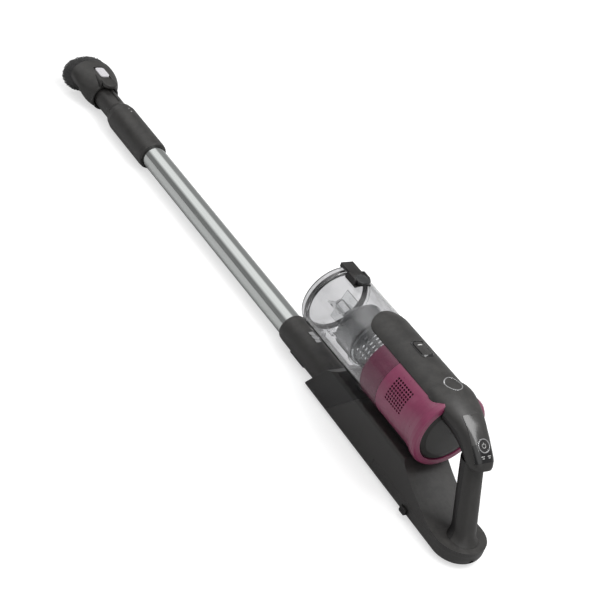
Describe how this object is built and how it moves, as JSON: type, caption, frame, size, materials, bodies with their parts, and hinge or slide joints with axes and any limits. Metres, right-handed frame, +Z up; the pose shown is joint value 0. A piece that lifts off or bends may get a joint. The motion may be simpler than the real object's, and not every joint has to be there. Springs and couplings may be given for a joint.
{
  "type": "cordless stick vacuum",
  "caption": "Cordless stick vacuum: looped handle over a clear cyclone bin, a slim battery base, a straight metal wand and an oval dusting brush.",
  "frame": {"origin": "middle of the bounding box on the surface that the belly rests on", "axes": "+X along the wand towards the brush, +Y to the left of a person holding it, +Z up from the belly towards the bin"},
  "size_m": [1.0373, 0.1, 0.165],
  "materials": {
    "charcoal_shell": "fine moulded grain, satin",
    "dark_shell": "near-black moulded plastic",
    "charcoal_gloss": "polished charcoal",
    "gloss_black": "polished black",
    "magenta_shell": "tinted satin-gloss moulding",
    "magenta_clear": "translucent tinted moulding",
    "clear_bin": "clear polished moulding",
    "smoke_clear": "smoke translucent moulding",
    "pale_clear": "pale translucent moulding",
    "tube_metal": "bright drawn and polished",
    "steel": "fine machined",
    "bright_ring": "bright plated",
    "rubber_black": "soft satin",
    "bristle_black": "dense nylon bristles",
    "light_grey": "smooth pale moulding",
    "contact_brass": "plated contacts",
    "filter_foam": "pleated filter paper",
    "board_green": "lacquered board",
    "cell_wrap": "shrink wrap",
    "copper_core": "laminated core"
  },
  "bodies": {
    "main_body": {"front_sleeve": "dark_shell", "main_housing": "charcoal_shell", "housing_screws": "steel", "inlet_duct": "dark_shell", "duct_seal": "rubber_black", "circuit_board": "board_green", "motor_cradle": "dark_shell", "motor_housing": "magenta_shell", "rear_cap": "charcoal_shell", "exhaust_filter": "filter_foam", "motor_can": "steel", "motor_stator": "copper_core", "motor_mount": "rubber_black", "rotor_bearings": "steel", "fan_shroud": "dark_shell", "handle_outer_shell": "charcoal_shell", "handle_inner_shell": "dark_shell", "saddle_plate": "dark_shell", "badge_ring": "bright_ring", "pod_panel": "charcoal_gloss", "display_lens": "gloss_black", "power_ring": "bright_ring"},
    "rotor": {"motor_rotor": "steel", "fan_impeller": "dark_shell"},
    "battery": {"battery_tray": "charcoal_shell", "battery_lid": "charcoal_shell", "battery_cells": "cell_wrap", "battery_contacts": "contact_brass", "charge_jack": "dark_shell"},
    "battery_latch_left": {"battery_latch_left": "dark_shell"},
    "battery_latch_right": {"battery_latch_right": "dark_shell"},
    "power_button": {"power_button": "dark_shell"},
    "bin_release_button": {"bin_release_button": "dark_shell"},
    "dust_bin": {"bin_cup": "clear_bin", "flap_hinge_pin": "steel", "latch_mount": "dark_shell", "cyclone_vane": "pale_clear", "cyclone_cone": "smoke_clear", "debris_cup": "pale_clear", "shroud_screen": "smoke_clear", "bin_collar": "magenta_clear", "prefilter": "filter_foam"},
    "bin_flap": {"bin_flap": "clear_bin", "flap_seal": "rubber_black"},
    "flap_latch": {"flap_latch": "dark_shell"},
    "wand": {"wand_tube": "tube_metal", "upper_coupling": "charcoal_shell", "contact_pins": "bright_ring", "lower_coupling": "charcoal_shell", "contact_strip": "bright_ring", "coupling_seal": "rubber_black", "latch_springs": "steel"},
    "upper_latch": {"upper_latch_button": "dark_shell"},
    "lower_latch": {"lower_latch_button": "dark_shell"},
    "brush_tool": {"brush_hood": "charcoal_shell"},
    "bristles": {"bristle_carrier": "dark_shell", "bristle_ring": "bristle_black", "bristle_slide_button": "light_grey"},
    "tool_release": {"tool_release_tab": "charcoal_shell"}
  },
  "joints": [
    {"name": "fan_spin", "type": "hinge", "parent": "main_body", "child": "rotor", "pos_m": [-0.365, 0, 0.1116], "axis": [1, 0, 0], "continuous": true},
    {"name": "battery_slide", "type": "slide", "parent": "main_body", "child": "battery", "axis": [-1, 0, 0], "range_m": [0, 0.175]},
    {"name": "battery_latch_left_press", "type": "slide", "parent": "battery", "child": "battery_latch_left", "axis": [0, -1, 0], "range_m": [0, 0.0025], "stiffness_N_per_m": 500, "springref_m": -0.001},
    {"name": "battery_latch_right_press", "type": "slide", "parent": "battery", "child": "battery_latch_right", "axis": [0, 1, 0], "range_m": [0, 0.0025], "stiffness_N_per_m": 500, "springref_m": -0.001},
    {"name": "power_press", "type": "slide", "parent": "main_body", "child": "power_button", "axis": [0.6157, 0, -0.788], "range_m": [0, 0.001], "stiffness_N_per_m": 500, "springref_m": -0.001},
    {"name": "bin_release_press", "type": "slide", "parent": "main_body", "child": "bin_release_button", "axis": [0, 0, -1], "range_m": [0, 0.0012], "stiffness_N_per_m": 500, "springref_m": -0.001},
    {"name": "bin_slide", "type": "slide", "parent": "main_body", "child": "dust_bin", "axis": [1, 0, 0], "range_m": [0, 0.12]},
    {"name": "flap_hinge", "type": "hinge", "parent": "dust_bin", "child": "bin_flap", "pos_m": [-0.158, 0, 0.0614], "axis": [0, 1, 0], "range_deg": [0, 90]},
    {"name": "flap_latch_rock", "type": "hinge", "parent": "dust_bin", "child": "flap_latch", "pos_m": [-0.181, 0, 0.1618], "axis": [0, 1, 0], "range_deg": [-6, 0], "stiffness_Nm_per_rad": 0.4, "springref_deg": 5.73},
    {"name": "wand_pull", "type": "slide", "parent": "main_body", "child": "wand", "axis": [1, 0, 0], "range_m": [0, 0.08]},
    {"name": "upper_latch_press", "type": "slide", "parent": "wand", "child": "upper_latch", "axis": [0, 0, 1], "range_m": [0, 0.0022], "stiffness_N_per_m": 500, "springref_m": -0.001, "deforming": ["latch_springs"]},
    {"name": "lower_latch_press", "type": "slide", "parent": "wand", "child": "lower_latch", "axis": [0, 0, 1], "range_m": [0, 0.0022], "stiffness_N_per_m": 500, "springref_m": -0.001, "deforming": ["latch_springs"]},
    {"name": "tool_pull", "type": "slide", "parent": "wand", "child": "brush_tool", "axis": [1, 0, 0], "range_m": [0, 0.03]},
    {"name": "bristle_slide", "type": "slide", "parent": "brush_tool", "child": "bristles", "axis": [-1, 0, 0], "range_m": [0, 0.004]},
    {"name": "tool_release_press", "type": "slide", "parent": "brush_tool", "child": "tool_release", "axis": [0, 0, -1], "range_m": [0, 0.0015], "stiffness_N_per_m": 500, "springref_m": -0.001}
  ]
}
